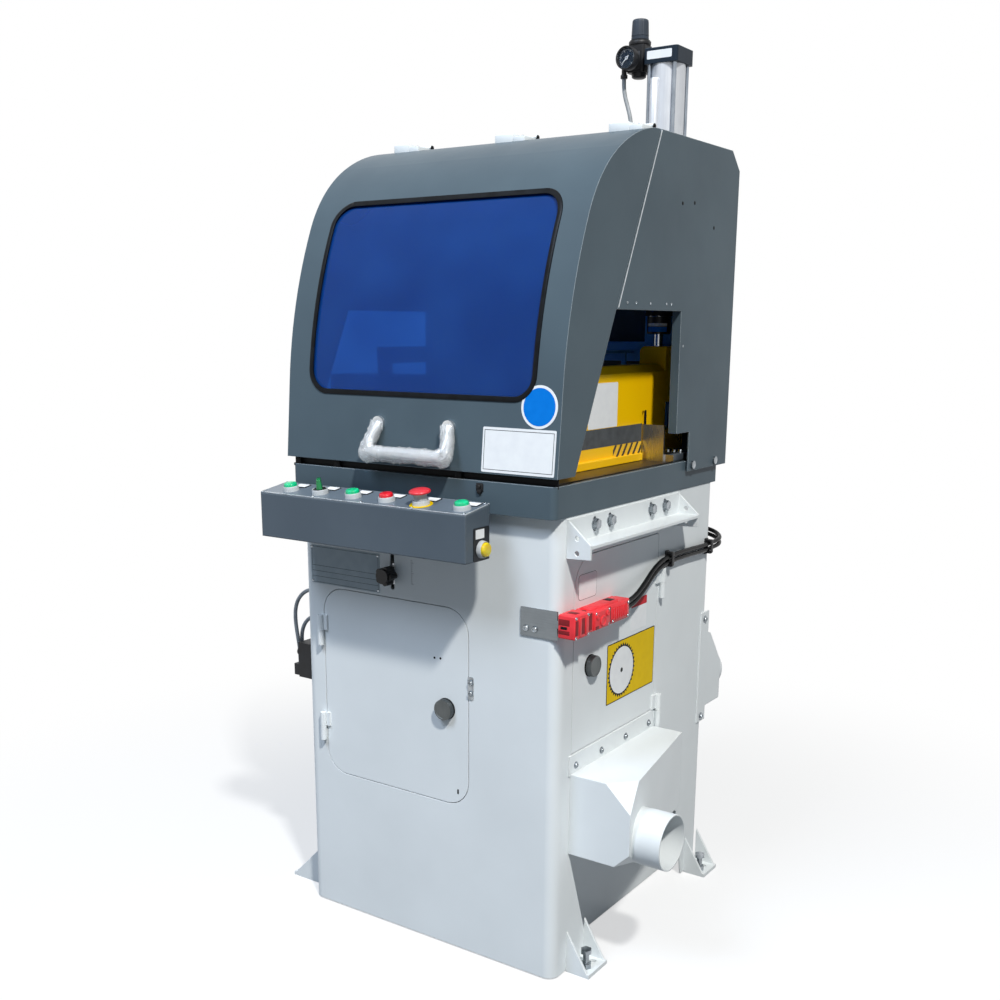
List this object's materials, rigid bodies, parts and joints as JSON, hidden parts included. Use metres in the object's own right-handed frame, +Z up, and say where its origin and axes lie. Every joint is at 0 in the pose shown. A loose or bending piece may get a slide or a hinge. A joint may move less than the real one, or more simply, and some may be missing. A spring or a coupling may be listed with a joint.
{
  "type": "circular saw bench",
  "caption": "Floor-standing pneumatic up-cut circular saw: sheet cabinet, slotted table under a hinged hood with tinted window, clamp guard, control box and dust spigots.",
  "frame": {"origin": "on the floor under the middle of the cabinet", "axes": "+Z up, +X to the operator's right where cut stock leaves, -Y towards the operator"},
  "size_m": [0.885, 0.865, 1.776],
  "materials": {
    "cabinet_paint": "satin light grey powder coat",
    "hood_paint": "satin charcoal powder coat",
    "zinc_steel": "zinc plated",
    "window": "blue tinted polycarbonate",
    "handle": "satin, still in clear film",
    "table_iron": "ground top",
    "fence_steel": "stainless",
    "bezel_metal": "bright",
    "green_cap": "gloss",
    "red_cap": "gloss",
    "yellow_cap": "gloss",
    "latch_chrome": "satin chrome",
    "knob_plastic": "matt black",
    "stud_steel": "zinc plated",
    "switch_red": "satin",
    "key_steel": "satin",
    "cable_black": "matt",
    "air_hose": "satin grey",
    "saw_unit_paint": "mid blue paint",
    "guard_paint": "yellow paint",
    "motor_paint": "dark grey paint",
    "machined_steel": "turned",
    "pulley_iron": "turned",
    "belt_rubber": "matt",
    "blade_steel": "ground",
    "cylinder_alloy": "anodised",
    "cap_paint": "satin blue-black",
    "rod_chrome": "hard chrome",
    "regulator_plastic": "satin black",
    "gauge_case": "satin black",
    "needle": "matt",
    "valve_black": "satin black"
  },
  "bodies": {
    "machine": {"air_service_unit": "valve_black", "bench_tray": "hood_paint", "button_bezels": "bezel_metal", "cabinet_shell": "cabinet_paint", "chip_chute": "cabinet_paint", "clamp_bridge": "saw_unit_paint", "clamp_cylinder": "cylinder_alloy", "control_box": "hood_paint", "control_lid": "hood_paint", "cylinder_caps": "cap_paint", "fence": "fence_steel", "foot_brackets": "cabinet_paint", "hex_bolts": "zinc_steel", "hinge_bases": "cabinet_paint", "lift_cylinder": "cylinder_alloy", "pivot_shaft": "machined_steel", "pressure_gauge": "gauge_case", "rear_chute": "cabinet_paint", "rear_hood": "hood_paint", "regulator_body": "regulator_plastic", "regulator_hose": "air_hose", "roller_bracket": "cabinet_paint", "saw_frame": "saw_unit_paint", "saw_table": "table_iron", "service_hoses": "air_hose", "switch_cables": "cable_black", "switch_key": "key_steel", "tie_rods": "rod_chrome"},
    "front_hood": {"front_hood": "hood_paint", "window_pane": "window", "hood_handle": "handle"},
    "front_door": {"front_door": "cabinet_paint"},
    "front_latch": {"front_latch": "latch_chrome"},
    "side_door": {"side_door": "cabinet_paint", "safety_switch": "switch_red"},
    "side_latch": {"side_latch": "latch_chrome"},
    "green_left": {"button_green_left": "green_cap"},
    "selector": {"selector_lever": "green_cap"},
    "green_mid": {"button_green_mid": "green_cap"},
    "red_stop": {"button_red": "red_cap"},
    "estop": {"estop_head": "red_cap"},
    "green_right": {"button_green_right": "green_cap"},
    "yellow_end": {"button_yellow": "yellow_cap"},
    "stop_slide": {"stop_slider": "stud_steel"},
    "hand_knob": {"hand_knob": "knob_plastic"},
    "saw_arm": {"swing_arm": "saw_unit_paint", "arbor_bearings": "machined_steel", "motor": "motor_paint", "drive_belt": "belt_rubber"},
    "spindle": {"arbor": "machined_steel", "arbor_pulley": "pulley_iron", "saw_blade": "blade_steel", "blade_flange": "machined_steel"},
    "motor_rotor": {"motor_pulley": "pulley_iron"},
    "lift_rod": {"lift_rod": "machined_steel"},
    "clamp": {"clamp_guard": "guard_paint", "clamp_rod": "rod_chrome"},
    "regulator_knob": {"regulator_knob": "knob_plastic"},
    "gauge_needle": {"gauge_needle": "needle"}
  },
  "joints": [
    {"name": "hood_hinge", "type": "hinge", "parent": "machine", "child": "front_hood", "pos_m": [0, -0.005, 1.5365], "axis": [-1, 0, 0], "range_deg": [0, 70]},
    {"name": "front_door_hinge", "type": "hinge", "parent": "machine", "child": "front_door", "pos_m": [-0.253, -0.3165, 0.5], "axis": [0, 0, -1], "range_deg": [0, 110]},
    {"name": "side_door_hinge", "type": "hinge", "parent": "machine", "child": "side_door", "pos_m": [0.3065, 0.073, 0.6], "axis": [0, 0, 1], "range_deg": [0, 110], "deforming": ["switch_cables"]},
    {"name": "front_latch_turn", "type": "hinge", "parent": "front_door", "child": "front_latch", "pos_m": [0.056, -0.31, 0.49], "axis": [0, 1, 0], "range_deg": [0, 90]},
    {"name": "side_latch_turn", "type": "hinge", "parent": "side_door", "child": "side_latch", "pos_m": [0.3, -0.197, 0.5895], "axis": [1, 0, 0], "range_deg": [0, 90]},
    {"name": "green_left_press", "type": "slide", "parent": "machine", "child": "green_left", "axis": [0, 0.1552, -0.9879], "range_m": [0, 0.0035], "stiffness_N_per_m": 700, "springref_m": -0.002},
    {"name": "green_mid_press", "type": "slide", "parent": "machine", "child": "green_mid", "axis": [0, 0.1552, -0.9879], "range_m": [0, 0.0035], "stiffness_N_per_m": 700, "springref_m": -0.002},
    {"name": "red_stop_press", "type": "slide", "parent": "machine", "child": "red_stop", "axis": [0, 0.1552, -0.9879], "range_m": [0, 0.0035], "stiffness_N_per_m": 700, "springref_m": -0.002},
    {"name": "green_right_press", "type": "slide", "parent": "machine", "child": "green_right", "axis": [0, 0.1552, -0.9879], "range_m": [0, 0.0035], "stiffness_N_per_m": 700, "springref_m": -0.002},
    {"name": "yellow_end_press", "type": "slide", "parent": "machine", "child": "yellow_end", "axis": [-1, 0, 0], "range_m": [0, 0.0035], "stiffness_N_per_m": 700, "springref_m": -0.002},
    {"name": "estop_press", "type": "slide", "parent": "machine", "child": "estop", "axis": [0, 0.1552, -0.9879], "range_m": [0, 0.0055]},
    {"name": "selector_turn", "type": "hinge", "parent": "machine", "child": "selector", "pos_m": [-0.164, -0.4, 0.88893], "axis": [0, -0.1552, 0.9879], "range_deg": [-90, 0]},
    {"name": "stop_adjust", "type": "slide", "parent": "machine", "child": "stop_slide", "axis": [0, 0, 1], "range_m": [-0.025, 0.035]},
    {"name": "hand_knob_turn", "type": "hinge", "parent": "stop_slide", "child": "hand_knob", "pos_m": [-0.07, -0.33, 0.733], "axis": [0, -1, 0], "range_deg": [0, 360]},
    {"name": "saw_lift", "type": "hinge", "parent": "machine", "child": "saw_arm", "pos_m": [0.105, 0.245, 0.739], "axis": [-1, 0, 0], "range_deg": [0, 33.2]},
    {"name": "blade_spin", "type": "hinge", "parent": "saw_arm", "child": "spindle", "pos_m": [0.19, -0.02, 0.66], "axis": [1, 0, 0], "continuous": true},
    {"name": "motor_spin", "type": "hinge", "parent": "saw_arm", "child": "motor_rotor", "pos_m": [0.04, 0.16, 0.56], "axis": [1, 0, 0], "continuous": true},
    {"name": "lift_stroke", "type": "slide", "parent": "machine", "child": "lift_rod", "axis": [0, 0, 1], "range_m": [0, 0.1106]},
    {"name": "clamp_stroke", "type": "slide", "parent": "machine", "child": "clamp", "axis": [0, 0, 1], "range_m": [0, 0.055]},
    {"name": "regulator_turn", "type": "hinge", "parent": "machine", "child": "regulator_knob", "pos_m": [0.1335, 0.232, 1.757], "axis": [0, 0, -1], "range_deg": [0, 300]},
    {"name": "gauge_turn", "type": "hinge", "parent": "machine", "child": "gauge_needle", "pos_m": [0.1335, 0.178, 1.698], "axis": [0, 1, 0], "range_deg": [0, 260]}
  ],
  "couplings": [
    {"joint": "motor_spin", "follows": "blade_spin", "ratio": 0.8},
    {"joint": "lift_stroke", "follows": "saw_lift", "m_per_rad": 0.19054},
    {"joint": "gauge_turn", "follows": "regulator_turn", "ratio": 0.8}
  ]
}
